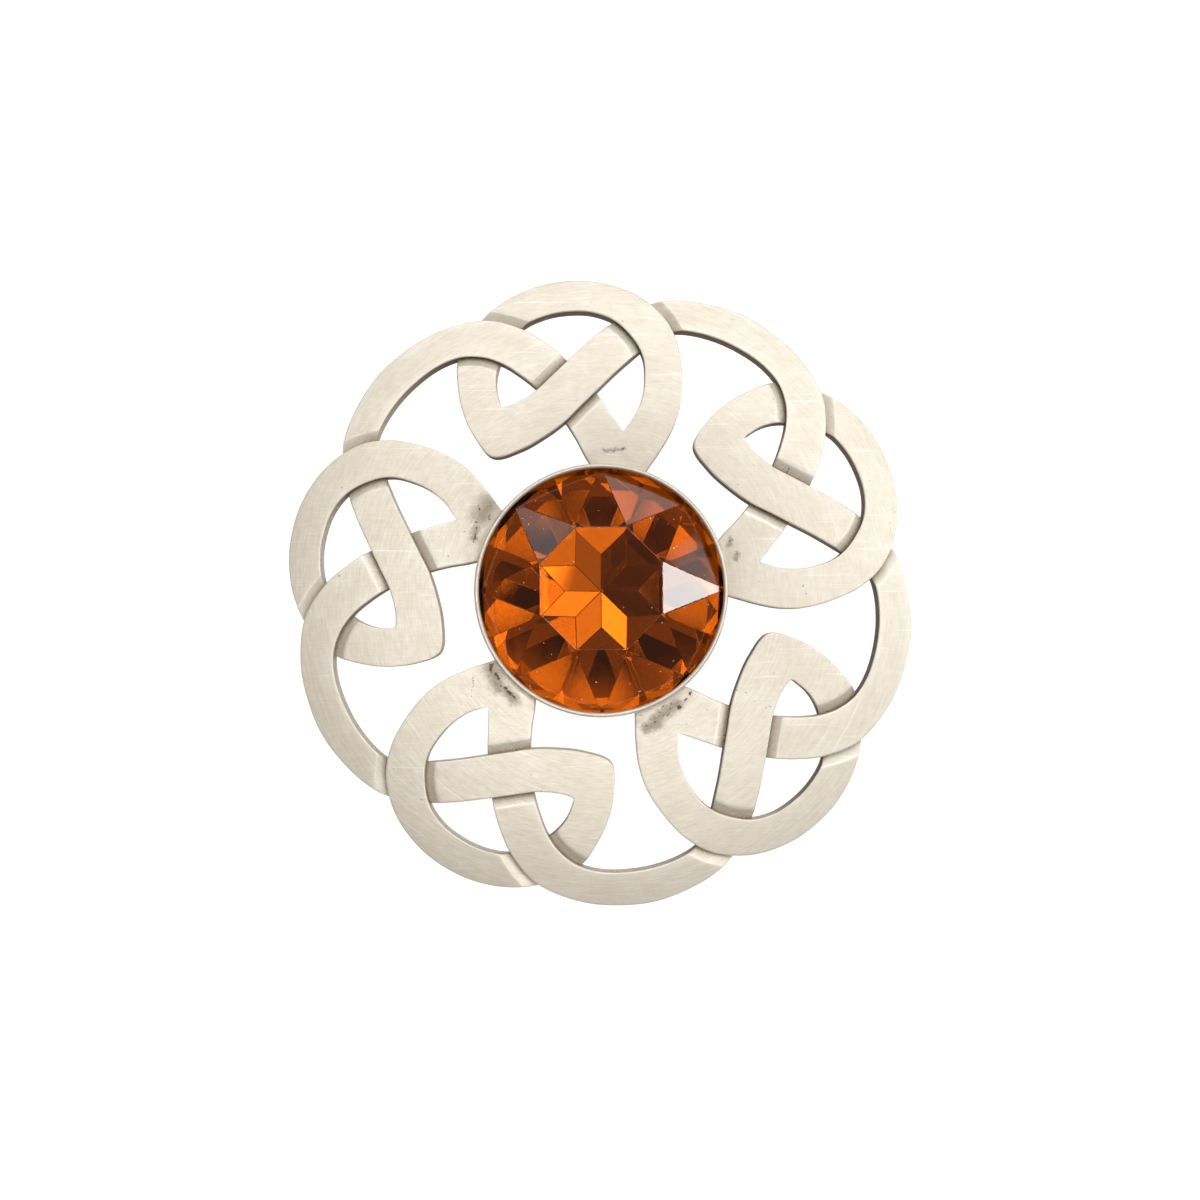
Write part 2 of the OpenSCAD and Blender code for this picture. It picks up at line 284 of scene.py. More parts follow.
def strand_tree():
    tree = bpy.data.node_groups.new("strand between two edges", "GeometryNodeTree")
    sockets = {}
    for name, kind, value in (
            ("Geometry", "NodeSocketGeometry", None),
            ("Outer edge", "NodeSocketObject", None),
            ("Inner edge", "NodeSocketObject", None),
            ("Section", "NodeSocketObject", None),
            ("Upper strands", "NodeSocketObject", None),
            ("First row", "NodeSocketInt", 0),
            ("Last row", "NodeSocketInt", 1),
            ("Steps between rows", "NodeSocketInt", ROW_STEPS),
            ("Dip", "NodeSocketFloat", DIP),
            ("Ramp", "NodeSocketFloat", RAMP),
            ("Lift", "NodeSocketFloat", 0.0),
            ("Copies", "NodeSocketInt", UNITS),
            ("Metal", "NodeSocketMaterial", None)):
        socket = tree.interface.new_socket(name=name, in_out="INPUT", socket_type=kind)
        if value is not None:
            socket.default_value = value
        sockets[name] = socket.identifier
    tree.interface.new_socket(name="Geometry", in_out="OUTPUT", socket_type="NodeSocketGeometry")
    given = put(tree, "NodeGroupInput").outputs
    position = put(tree, "GeometryNodeInputPosition").outputs[0]
    index = put(tree, "GeometryNodeInputIndex").outputs[0]
    radius = put(tree, "GeometryNodeInputRadius").outputs[0]

    def dense_edge(obj):
        raw = put(tree, "GeometryNodeObjectInfo", {"Object": obj}).outputs["Geometry"]
        curve = put(tree, "GeometryNodeCurveSplineType", {"Curve": raw}, spline_type="CATMULL_ROM").outputs[0]
        curve = put(tree, "GeometryNodeSetSplineResolution",
                    {"Geometry": curve, "Resolution": given["Steps between rows"]}).outputs[0]
        return put(tree, "GeometryNodeResampleCurve", {"Curve": curve}, mode="EVALUATED").outputs[0]

    def sample(geometry, value, at, kind="FLOAT_VECTOR"):
        return put(tree, "GeometryNodeSampleIndex", {"Geometry": geometry, "Value": value, "Index": at},
                   data_type=kind, domain="POINT").outputs[0]

    outer, inner = dense_edge(given["Outer edge"]), dense_edge(given["Inner edge"])
    points = put(tree, "GeometryNodeObjectInfo", {"Object": given["Section"]}).outputs["Geometry"]
    steps = given["Steps between rows"]
    start = calc(tree, "MULTIPLY", given["First row"], steps)
    columns = calc(tree, "ADD", calc(tree, "MULTIPLY", calc(
        tree, "SUBTRACT", given["Last row"], given["First row"]), steps), 1.0)
    around = put(tree, "GeometryNodeAttributeDomainSize", {0: points},
                 component="MESH").outputs["Point Count"]
    grid = put(tree, "GeometryNodeMeshGrid", {"Size X": 1.0, "Size Y": 1.0,
               "Vertices X": calc(tree, "ADD", columns, 2.0), "Vertices Y": calc(tree, "ADD", around, 1.0)})

    per_column = calc(tree, "ADD", around, 1.0)
    column = calc(tree, "FLOOR", calc(tree, "DIVIDE", calc(tree, "ADD", index, 0.5), per_column))
    place = calc(tree, "SUBTRACT", index, calc(tree, "MULTIPLY", column, per_column))
    place = calc(tree, "MODULO", place, around)
    last = calc(tree, "SUBTRACT", columns, 1.0)
    along = calc(tree, "MINIMUM", calc(tree, "MAXIMUM", calc(tree, "SUBTRACT", column, 1.0), 0.0), last)
    at_end = calc(tree, "GREATER_THAN", calc(tree, "ABSOLUTE", calc(
        tree, "SUBTRACT", calc(tree, "SUBTRACT", column, 1.0), along)), 0.5)

    along = calc(tree, "ADD", along, start)
    outer_at, inner_at = sample(outer, position, along), sample(inner, position, along)
    may_dip = calc(tree, "MULTIPLY", sample(outer, radius, along, "FLOAT"), 1.0, clamp=True)
    section_at = put(tree, "ShaderNodeSeparateXYZ", {0: sample(points, position, place)}).outputs
    share = calc(tree, "ADD", calc(tree, "MULTIPLY", section_at[SHARE], calc(tree, "SUBTRACT", 1.0, at_end)),
                 calc(tree, "MULTIPLY", at_end, 0.5))
    step = calc(tree, "MULTIPLY", section_at[STEP], calc(tree, "SUBTRACT", 1.0, at_end))
    drop = calc(tree, "ADD", calc(tree, "MULTIPLY", section_at[DROP], calc(tree, "SUBTRACT", 1.0, at_end)),
                calc(tree, "MULTIPLY", at_end, END_DROP))

    flat = (1.0, 1.0, 0.0)
    outer_xy = vector_calc(tree, "MULTIPLY", outer_at, flat)
    inner_xy = vector_calc(tree, "MULTIPLY", inner_at, flat)
    across = vector_calc(tree, "SUBTRACT", outer_xy, inner_xy)
    spot = vector_calc(tree, "ADD", inner_xy, scaled(tree, across, share))
    spot = vector_calc(tree, "ADD", spot, scaled(tree, vector_calc(tree, "NORMALIZE", across), step))

    outer_round = put(tree, "ShaderNodeSeparateXYZ", {0: outer_at}).outputs[2]
    inner_round = put(tree, "ShaderNodeSeparateXYZ", {0: inner_at}).outputs[2]
    outer_side = calc(tree, "GREATER_THAN", share, 0.5)
    roundness = calc(tree, "ADD", calc(tree, "MULTIPLY", outer_side, outer_round),
                     calc(tree, "MULTIPLY", calc(tree, "SUBTRACT", 1.0, outer_side), inner_round), clamp=True)
    on_top = calc(tree, "LESS_THAN", drop, EDGE_DEPTH)
    keep = calc(tree, "SUBTRACT", 1.0, calc(tree, "MULTIPLY", on_top, calc(tree, "SUBTRACT", 1.0, roundness)))
    drop = calc(tree, "MULTIPLY", drop, keep)

    upper = put(tree, "GeometryNodeObjectInfo", {"Object": given["Upper strands"]}).outputs["Geometry"]
    distance = put(tree, "GeometryNodeProximity", {0: upper, "Sample Position": spot},
                   target_element="FACES").outputs["Distance"]
    depth = calc(tree, "SUBTRACT", 1.0, calc(tree, "DIVIDE", distance, given["Ramp"]), clamp=True)
    depth = calc(tree, "MULTIPLY", calc(tree, "MULTIPLY", depth, may_dip), given["Dip"])
    below = calc(tree, "DIVIDE", drop, METAL)
    floor_lift = calc(tree, "MULTIPLY", calc(tree, "MULTIPLY", depth, below), -UNDERSIDE_DIP)
    depth = calc(tree, "ADD", calc(tree, "MULTIPLY", depth, calc(tree, "SUBTRACT", 1.0, below)), floor_lift)

    reach = vector_calc(tree, "LENGTH", spot, out=1)
    from_crown = calc(tree, "DIVIDE", calc(tree, "SUBTRACT", reach, CROWN_R), RIM_R - CROWN_R)
    fall = calc(tree, "POWER", from_crown, 2.0)
    top = calc(tree, "SUBTRACT", RING_Z, calc(tree, "MULTIPLY", fall, RIM_FALL))
    height = calc(tree, "SUBTRACT", calc(tree, "SUBTRACT", top, drop), depth)
    height = calc(tree, "ADD", height, given["Lift"])
    xy = put(tree, "ShaderNodeSeparateXYZ", {0: spot}).outputs
    final = put(tree, "ShaderNodeCombineXYZ", {0: xy[0], 1: xy[1], 2: height}).outputs[0]

    body = put(tree, "GeometryNodeSetPosition", {"Geometry": grid.outputs["Mesh"],
               "Position": scaled(tree, final, MM)}).outputs[0]
    body = put(tree, "GeometryNodeMergeByDistance", {"Geometry": body, "Distance": 1e-7}).outputs[0]
    turns = put(tree, "GeometryNodeMeshLine",
                {"Count": given["Copies"], "Offset": (0.0, 0.0, 0.0)}).outputs[0]
    angle = put(tree, "ShaderNodeCombineXYZ", {2: calc(tree, "MULTIPLY", index, TURN)}).outputs[0]
    copies = put(tree, "GeometryNodeInstanceOnPoints",
                 {"Points": turns, "Instance": body, "Rotation": angle}).outputs[0]
    whole = put(tree, "GeometryNodeRealizeInstances", {"Geometry": copies}).outputs[0]
    dressed = put(tree, "GeometryNodeSetMaterial", {"Geometry": whole, "Material": given["Metal"]}).outputs[0]
    put(tree, "NodeGroupOutput", {0: dressed})
    return tree, sockets


strand_group, strand_socket = strand_tree()
print("strand tree:", len(strand_group.nodes), "nodes")

# %% [markdown]
# ## The strands
# The long strand crosses over its own beginning, and a solid can't pass through itself, so it
# is made in two lengths that share a stretch. The arc sits a hair lower, too little to see,
# so that no two faces lie exactly in one plane where the feet run together.

# %% Strands
HAIR = 0.01


def strand(name, table, first, last, upper, lift=0.0):
    outer = edge_curve(name + "_outer_edge", table, OX, OY, ROUND_O)
    inner = edge_curve(name + "_inner_edge", table, IX, IY, ROUND_I)
    holder = bpy.data.objects.new(name, bpy.data.meshes.new(name))
    scene.collection.objects.link(holder)
    modifier = holder.modifiers.new("strand", "NODES")
    modifier.node_group = strand_group
    for socket, value in (("Outer edge", outer), ("Inner edge", inner), ("Section", section),
                          ("Upper strands", upper), ("First row", first), ("Last row", last),
                          ("Steps between rows", ROW_STEPS), ("Dip", DIP), ("Ramp", RAMP), ("Lift", lift),
                          ("Copies", UNITS)):
        modifier[strand_socket[socket]] = value
    bpy.context.view_layer.update()
    evaluated = holder.evaluated_get(bpy.context.evaluated_depsgraph_get())
    made = bpy.data.objects.new(name + "_metal", bpy.data.meshes.new_from_object(evaluated))
    scene.collection.objects.link(made)
    for helper in (outer, inner, holder):
        bpy.data.objects.remove(helper)
    face_out(made.data)
    print(name, len(made.data.polygons), "faces")
    return made


def face_out(mesh):
    work = bmesh.new()
    work.from_mesh(mesh)
    bmesh.ops.recalc_face_normals(work, faces=work.faces)
    work.to_mesh(mesh)
    work.free()


arcs = strand("arcs", ARC, 0, len(ARC) - 1, over_arc, lift=-HAIR)
bars = strand("bars", LOOP, 0, TURN_ROW, over_loop)
loops = strand("loops", LOOP, TURN_ROW - 1, len(LOOP) - 1, over_loop)

# %% [markdown]
# ## The setting
# The round setting is a turned cup: a bevelled back, a wall just outside the stone and a lip
# burnished over its edge. One profile, run round the axis, makes it. A plain cylinder takes
# the ends of the feet off inside the wall.

# %% Setting
WALL_IN = STONE_R + 0.05
LIP_R = STONE_R - 0.25
SHOULDER_DROP = 1.6
SHOULDER_Z = ring_top(CUP_R) - METAL - SHOULDER_DROP
CUP_PROFILE = [
    (BACK_R, CUP_Z), (BACK_R + 0.1, CUP_Z),
    (CUP_R - 0.25, SHOULDER_Z - 0.12), (CUP_R, SHOULDER_Z + 0.12),
    (CUP_R, LIP_Z - 1.4), (CUP_R, LIP_Z - 0.42),
    (CUP_R - 0.02, LIP_Z - 0.28), (CUP_R - 0.06, LIP_Z - 0.16),
    (CUP_R - 0.13, LIP_Z - 0.07), (CUP_R - 0.22, LIP_Z - 0.01),
    (CUP_R - 0.30, LIP_Z), (CUP_R - 0.40, LIP_Z - 0.03),
    (CUP_R - 0.49, LIP_Z - 0.1), (CUP_R - 0.56, LIP_Z - 0.21),
    (LIP_R, LIP_Z - 0.34), (LIP_R + 0.02, LIP_Z - 0.5),
    (WALL_IN, GIRDLE_Z + 0.2), (WALL_IN, GIRDLE_Z - GIRDLE_H - 0.2),
    (7.9, 8.22), (4.5, 7.1), (0.4, 5.85),
]


def turned(name, profile, around):
    """Runs a profile of (radius, height) round the axis; both ends close on the axis."""
    verts, faces = [(0, 0, profile[0][1])], []
    for k in range(around):
        angle = math.tau * k / around
        verts += [(r * math.cos(angle), r * math.sin(angle), z) for r, z in profile]
    verts.append((0, 0, profile[-1][1]))
    n, last = len(profile), len(verts) - 1
    for k in range(around):
        here, there = 1 + k * n, 1 + (k + 1) % around * n
        faces.append((0, there, here))
        faces += [(here + i, there + i, there + i + 1, here + i + 1) for i in range(n - 1)]
        faces.append((here + n - 1, there + n - 1, last))
    mesh = bpy.data.meshes.new(name)
    mesh.from_pydata([Vector(v) * MM for v in verts], [], faces)
    face_out(mesh)
    obj = bpy.data.objects.new(name, mesh)
    scene.collection.objects.link(obj)
    return obj


cup = turned("cup", CUP_PROFILE, 288)
bore = turned("bore", [(CUP_R - 0.3, 0.0), (CUP_R - 0.3, RING_Z + 2)], 288)


def joined(base, other, operation):
    step = base.modifiers.new(operation, "BOOLEAN")
    step.operation, step.solver, step.object = operation, "MANIFOLD", other
    bpy.context.view_layer.update()
    evaluated = base.evaluated_get(bpy.context.evaluated_depsgraph_get())
    mesh = bpy.data.meshes.new_from_object(evaluated)
    base.modifiers.remove(step)
    base.data = mesh
    bpy.data.objects.remove(other)
    print(operation.lower(), "gives", len(mesh.polygons), "faces")


ring = arcs
joined(ring, bars, "UNION")
joined(ring, loops, "UNION")
joined(ring, bore, "DIFFERENCE")
joined(ring, cup, "UNION")
ring.name = "linished_knotwork"
ring.data.name = "linished_knotwork"

# %% [markdown]
# ## Where the metal lies low
# Polishing brightens what stands proud, and the black of the casting stays in the steps and
# down the walls. Each point keeps how many millimetres it lies below the ring's domed top, or
# in the setting below its lip, and the finish reads that number. The inner face of the lip is
# counted as fully sunk, which paints the shadow in the gap round the stone, and the walls are
# painted lighter or darker by the way they face the window.

# %% Depth below the top
def mark_depth(mesh):
    count = len(mesh.vertices)
    co = np.empty(count * 3)
    mesh.vertices.foreach_get("co", co)
    co = co.reshape(-1, 3) / MM
    reach = np.hypot(co[:, 0], co[:, 1])
    in_cup = np.clip(LIP_Z - 0.4 - co[:, 2], 0, 9)
    depth = np.where(reach > CUP_R + 0.02, ring_top(reach) - co[:, 2], in_cup)
    # The inner face of the lip counts as fully sunk, so the finish paints it dark: a painted shadow in the
    # gap round the stone.
    depth = np.where(reach < LIP_R + 0.025, 1.0, depth)
    mesh.attributes.new("sunk", "FLOAT", "POINT").data.foreach_set("value", depth.astype(np.float32))


HOLLOW, HOLLOW_END = 0.5, CUP_R + 1.0


def hollow_feet(mesh):
    """Each foot falls to the lip in a shallow hollow, where the setting was trued up."""
    count = len(mesh.vertices)
    co = np.empty(count * 3)
    mesh.vertices.foreach_get("co", co)
    co = co.reshape(-1, 3)
    reach = np.hypot(co[:, 0], co[:, 1]) / MM
    share = np.clip((HOLLOW_END - reach) / (HOLLOW_END - CUP_R + 0.3), 0, 1)
    high = np.clip((co[:, 2] / MM - LIP_Z - 0.05) / 0.3, 0, 1)
    co[:, 2] -= HOLLOW * MM * share**1.5 * high
    mesh.vertices.foreach_set("co", co.ravel())


mark_depth(ring.data)
hollow_feet(ring.data)
ring.data.shade_smooth()
ring.data.set_sharp_from_angle(angle=math.radians(38))
print("knotwork:", len(ring.data.polygons), "faces")

# %% [markdown]
# ## The stone
# A moulded glass stone has a flat table. Round it eight facets widen from the table's corners
# to the girdle, and eight narrow from its edges to points. A star of kites below carries a
# mirror foil. The cut is the solid's own, and its edges get a narrow bevel, for even a sharp
# facet edge catches a line of light. The normals that came with the solid's mesh belong to its
# old corners, so they go, and each facet is flat.

# %% Stone
BEVEL = 0.05


def cut_stone():
    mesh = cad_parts["stone"].data.copy()
    work = bmesh.new()
    work.from_mesh(mesh)
    bmesh.ops.remove_doubles(work, verts=work.verts, dist=1e-6)
    bmesh.ops.dissolve_limit(work, angle_limit=math.radians(0.6), verts=work.verts, edges=work.edges)
    work.normal_update()
    for side in (1, -1):
        edges = [e for e in work.edges if len(e.link_faces) == 2 and e.calc_face_angle(0) > 0.05
                 and all(f.normal.z * side > 0.3 for f in e.link_faces)]
        bmesh.ops.bevel(work, geom=edges, offset=BEVEL * MM, segments=2, profile=0.5, affect="EDGES")
    work.normal_update()
    for face in work.faces:
        face.material_index = 0 if face.normal.z > 0.2 else 1
    work.to_mesh(mesh)
    work.free()
    mesh.name = "cut_stone"
    mesh.attributes.remove(mesh.attributes["custom_normal"])
    mesh.shade_flat()
    obj = bpy.data.objects.new("cut_stone", mesh)
    scene.collection.objects.link(obj)
    print("stone:", len(mesh.polygons), "faces")
    return obj


stone = cut_stone()

# %% [markdown]
# ## Materials
# Each finish is a few noises in the object's own coordinates. Round the ring a noise is read
# in polar form, so the brushed lines run round the brooch and meet themselves without a seam.
# Two short tables place the dents and the stains.

# %% Helpers for materials
WINDOW_SIDE = (0.75, 0.66, 0.0)


def new_material(name, base, metallic, roughness):
    material = bpy.data.materials.new(name)
    material.use_nodes = True
    shader = material.node_tree.nodes["Principled BSDF"]
    shader.inputs["Base Color"].default_value = (*base, 1)
    shader.inputs["Metallic"].default_value = metallic
    shader.inputs["Roughness"].default_value = roughness
    return material, material.node_tree, shader


def noise(tree, vector, scale, detail=2.0, rough=0.5):
    return put(tree, "ShaderNodeTexNoise", {"Vector": vector, "Scale": scale, "Detail": detail,
               "Roughness": rough}).outputs[0]


def mix_color(tree, factor, a, b, blend="MIX"):
    return put(tree, "ShaderNodeMix", {0: factor, 6: a, 7: b}, data_type="RGBA", blend_type=blend).outputs[2]


def polar(tree, around, outward, upward=0.0):
    """A coordinate that runs round the axis without a seam: lengths are in turns and metres."""
    place = put(tree, "ShaderNodeTexCoord").outputs["Object"]
    xyz = put(tree, "ShaderNodeSeparateXYZ", {0: place}).outputs
    flat = put(tree, "ShaderNodeCombineXYZ", {0: xyz[0], 1: xyz[1]}).outputs[0]
    reach = vector_calc(tree, "LENGTH", flat, out=1)
    unit = scaled(tree, vector_calc(tree, "NORMALIZE", flat), around)
    rise = calc(tree, "ADD", calc(tree, "MULTIPLY", reach, outward), calc(tree, "MULTIPLY", xyz[2], upward))
    lift = put(tree, "ShaderNodeCombineXYZ", {2: rise}).outputs[0]
    return vector_calc(tree, "ADD", unit, lift), reach, place

# %% Pewter
MARK_X, MARK_Y, MARK_R, MARK_LENGTH, MARK_TURN = range(5)
DENTS = [
    [-11.6, -11.8, 0.14, 0.3, -45],
    [-11.1, -12.3, 0.16, 0.4, -42],
    [-10.6, -12.8, 0.12, 0.3, -50],
    [-13.3, -9.2, 0.22, 0.5, 80],
    [-12.6, -10.3, 0.16, 0.7, -60],
    [-15.5, -11.4, 0.05, 2.6, 86],
    [-15.2, 6.6, 0.1, 0.5, 80],
    [-15.0, 7.6, 0.07, 0.3, 60],
    [9.2, -14.2, 0.15, 0.3, 40],
    [10.1, -13.3, 0.13, 0.2, 30],
    [10.6, -12.5, 0.15, 0.3, 60],
    [8.0, -15.1, 0.08, 0.5, 30],
    [10.4, 9.3, 0.06, 0.4, 75],
    [22.6, 14.2, 0.07, 0.5, 60],
]
STAINS = [
    [-13.9, 9.8, 0.7, 1.6, 57],
    [-15.2, 6.9, 0.3, 1.2, 75],
    [-12.9, -10.4, 0.5, 2.4, -65],
    [-11.0, -12.6, 0.35, 1.6, -45],
    [7.7, -14.7, 0.4, 3.4, 36],
    [6.0, -16.4, 0.35, 1.4, 20],
    [16.4, 3.9, 0.2, 0.6, 80],
    [15.6, 5.6, 0.2, 0.7, 75],
    [1.6, 17.0, 0.12, 2.4, 5],
]


def marks(tree, at, table, inside, outside):
    """Marks at places on the ring: each is a short line with a width, a length and a turn."""
    total = 0.0
    for row in table:
        turn = math.radians(row[MARK_TURN])
        along = Vector((math.cos(turn), math.sin(turn), 0))
        offset = vector_calc(tree, "SUBTRACT", at, (row[MARK_X] * MM, row[MARK_Y] * MM, 0.0))
        slide = vector_calc(tree, "DOT_PRODUCT", offset, along, out=1)
        half = row[MARK_LENGTH] * MM / 2
        slide = calc(tree, "MINIMUM", calc(tree, "MAXIMUM", slide, -half), half)
        gap = vector_calc(tree, "DISTANCE", offset, scaled(tree, tuple(along), slide), out=1)
        mark = ramp_map(tree, gap, row[MARK_R] * MM * outside, row[MARK_R] * MM * inside, smooth=True)
        total = calc(tree, "MAXIMUM", total, mark)
    return total


def pewter_material():
    material, tree, shader = new_material("brushed_pewter", (0.82, 0.79, 0.72), 1.0, 0.62)
    brushed, reach, place = polar(tree, 9.0, 5200.0, 900.0)
    fine = noise(tree, brushed, 1.0, 4.0, 0.7)
    strokes = noise(tree, polar(tree, 22.0, 2600.0)[0], 1.0, 2.0, 0.5)
    slanted = put(tree, "ShaderNodeMapping", {"Vector": place, "Rotation": (0, 0, 0.7),
                  "Scale": (420.0, 6500.0, 1500.0)}).outputs[0]
    crossing = noise(tree, slanted, 1.0, 2.0, 0.65)
    clouds = noise(tree, place, 190.0, 3.0, 0.55)
    grain = noise(tree, place, 2700.0, 3.0, 0.7)
    lines = calc(tree, "ADD", calc(tree, "MULTIPLY", fine, 0.5), calc(tree, "MULTIPLY", strokes, 0.25))
    lines = calc(tree, "ADD", lines, calc(tree, "MULTIPLY", crossing, 0.25))
    steep = put(tree, "ShaderNodeMapping", {"Vector": place, "Rotation": (0, 0, -1.15),
                "Scale": (90.0, 3400.0, 600.0)}).outputs[0]
    scratch = calc(tree, "MAXIMUM", ramp_map(tree, noise(tree, steep, 1.0, 1.0, 0.5), 0.69, 0.74),
                   ramp_map(tree, noise(tree, polar(tree, 3.0, 3600.0)[0], 1.0, 1.0, 0.5), 0.70, 0.75))

    sunk = put(tree, "ShaderNodeAttribute", attribute_name="sunk").outputs["Fac"]
    normal = put(tree, "ShaderNodeTexCoord").outputs["Normal"]
    facing = calc(tree, "ABSOLUTE", put(tree, "ShaderNodeSeparateXYZ", {0: normal}).outputs[2])
    wall = calc(tree, "MULTIPLY", ramp_map(tree, facing, 0.55, 0.15),
                ramp_map(tree, sunk, 0.1, 0.3, smooth=True))
    # Painted light and shade on the walls: a wall facing the window is painted light, one facing away near
    # black, and walls close to the setting are painted fairly light whichever way they face.
    painted_lit_side = ramp_map(tree, vector_calc(tree, "DOT_PRODUCT", normal, WINDOW_SIDE, out=1),
                          -0.3, 0.7, smooth=True)
    painted_lit_side = calc(tree, "MAXIMUM", painted_lit_side, ramp_map(tree, reach, 0.0163, 0.0160, 0.0, 0.7))
    ragged = calc(tree, "ADD", sunk, calc(tree, "MULTIPLY", calc(tree, "SUBTRACT", grain, 0.5), 0.8))
    at_rim = ramp_map(tree, reach, 0.0325, 0.0345)
    rough_cast = calc(tree, "MULTIPLY", ramp_map(tree, ragged, 0.12, 0.65, 0.0, 0.95, smooth=True),
                      ramp_map(tree, at_rim, 0.0, 1.0, 1.0, 0.35))
    foot_line = calc(tree, "MULTIPLY", ramp_map(tree, ragged, 0.60, 0.80, 0.0, 0.9, smooth=True),
                     ramp_map(tree, at_rim, 0.0, 1.0, 1.0, 0.6))
    # Just below the top, along the rounded edges and the tops of the ramps, the metal is polished smoother
    # and painted lighter: real polish, with a painted highlight line.
    edge_polish_and_highlight = calc(tree, "MULTIPLY", ramp_map(tree, sunk, 0.012, 0.03),
                  ramp_map(tree, sunk, 0.10, 0.05, 0.0, 0.5))
    edge_polish_and_highlight = calc(tree, "MULTIPLY", edge_polish_and_highlight, ramp_map(tree, reach, 0.0165, 0.0170))

    crumbs = put(tree, "ShaderNodeTexNoise", {"Vector": place, "Scale": 2000.0, "Detail": 3.0,
                 "Roughness": 0.65}).outputs["Color"]
    crumbs = vector_calc(tree, "SUBTRACT", crumbs, (0.5, 0.5, 0.5))
    flat_place = vector_calc(tree, "MULTIPLY", place, (1.0, 1.0, 0.0))
    dents = marks(tree, vector_calc(tree, "ADD", flat_place, scaled(tree, crumbs, 0.0007)), DENTS, 0.5, 1.5)
    stains = marks(tree, vector_calc(tree, "ADD", flat_place, scaled(tree, crumbs, 0.0012)), STAINS, 0.0, 3.2)
    band = calc(tree, "MULTIPLY", ramp_map(tree, reach, 0.0154, 0.0156),
                ramp_map(tree, reach, 0.0175, 0.0158, 0.0, 0.4))
    smear = calc(tree, "MAXIMUM", stains, calc(tree, "MULTIPLY", band, ramp_map(tree, clouds, 0.35, 0.6)))
    pits = calc(tree, "MULTIPLY", ramp_map(tree, noise(tree, place, 2600.0, 1.0, 0.5), 0.66, 0.72),
                ramp_map(tree, smear, 0.35, 0.6), clamp=True)
    speckle = noise(tree, place, 3000.0, 0.0, 0.4)
    specks = calc(tree, "MULTIPLY", ramp_map(tree, speckle, 0.83, 0.87, 0.0, 0.6),
                  ramp_map(tree, clouds, 0.50, 0.60))
    holes = calc(tree, "MAXIMUM", calc(tree, "MAXIMUM", pits, specks), dents)

    mottle = noise(tree, place, 900.0, 4.0, 0.7)
    bright = mix_color(tree, ramp_map(tree, clouds, 0.35, 0.65),
                       (0.825, 0.775, 0.685, 1), (0.86, 0.828, 0.755, 1))
    # The brushing lines darken the metal more on the side of the brooch away from the window: real brushing,
    # with painted shade on the far side.
    brushing_and_shade = calc(tree, "MULTIPLY", ramp_map(tree, lines, 0.40, 0.60),
                    ramp_map(tree, vector_calc(tree, "DOT_PRODUCT", place, WINDOW_SIDE, out=1),
                             -0.02, 0.02, 0.55, 0.35))
    bright = mix_color(tree, brushing_and_shade, bright, (0.68, 0.615, 0.51, 1))
    bright = mix_color(tree, ramp_map(tree, mottle, 0.35, 0.65, 0.0, 0.3), bright, (0.71, 0.66, 0.58, 1))
    bright = mix_color(tree, calc(tree, "MULTIPLY", scratch, 0.3), bright, (0.97, 0.95, 0.90, 1))
    bright = mix_color(tree, edge_polish_and_highlight, bright, (0.93, 0.91, 0.86, 1))
    bright = mix_color(tree, calc(tree, "MULTIPLY", smear, 0.85), bright, (0.36, 0.30, 0.23, 1))
    cast = mix_color(tree, ramp_map(tree, grain, 0.40, 0.62), (0.34, 0.28, 0.20, 1), (0.66, 0.595, 0.50, 1))
    tone = mix_color(tree, rough_cast, bright, cast)
    tone = mix_color(tree, foot_line, tone, (0.14, 0.095, 0.05, 1))
    tone = mix_color(tree, calc(tree, "MULTIPLY", holes, 0.93), tone, (0.09, 0.075, 0.055, 1))
    side = mix_color(tree, ramp_map(tree, grain, 0.35, 0.65), (0.46, 0.40, 0.32, 1), (0.62, 0.56, 0.48, 1))
    # The wall colour: painted light where the wall faces the window, painted shade in near black where it
    # faces away.
    side = mix_color(tree, painted_lit_side, (0.12, 0.08, 0.05, 1), side)
    tree.links.new(mix_color(tree, wall, tone, side), shader.inputs["Base Color"])
    worn = calc(tree, "MAXIMUM", calc(tree, "MAXIMUM", holes, wall), calc(tree, "MAXIMUM", rough_cast, smear))
    rough = calc(tree, "ADD", ramp_map(tree, lines, 0.35, 0.65, 0.54, 0.68),
                 calc(tree, "MULTIPLY", worn, 0.1))
    rough = calc(tree, "SUBTRACT", rough,
                 calc(tree, "MULTIPLY", calc(tree, "MAXIMUM", edge_polish_and_highlight, scratch), 0.12))
    tree.links.new(rough, shader.inputs["Roughness"])
    tree.links.new(ramp_map(tree, worn, 0.0, 1.0, 1.0, 0.6), shader.inputs["Metallic"])

    relief = calc(tree, "ADD", lines,
                  calc(tree, "MULTIPLY", grain, ramp_map(tree, sunk, 0.05, 0.4, 0.2, 1.3)))
    bump = put(tree, "ShaderNodeBump", {"Strength": 0.5, "Distance": 0.00002, "Height": relief}).outputs[0]
    tree.links.new(bump, shader.inputs["Normal"])
    return material


pewter = pewter_material()

# %% Amber glass and its foil
AMBER = (1.0, 0.21, 0.008)
GLASS_IOR = 1.5
AWAY_SIDE = (-0.45, -0.89, 0.0)
GATHERED_LIGHT = 0.2


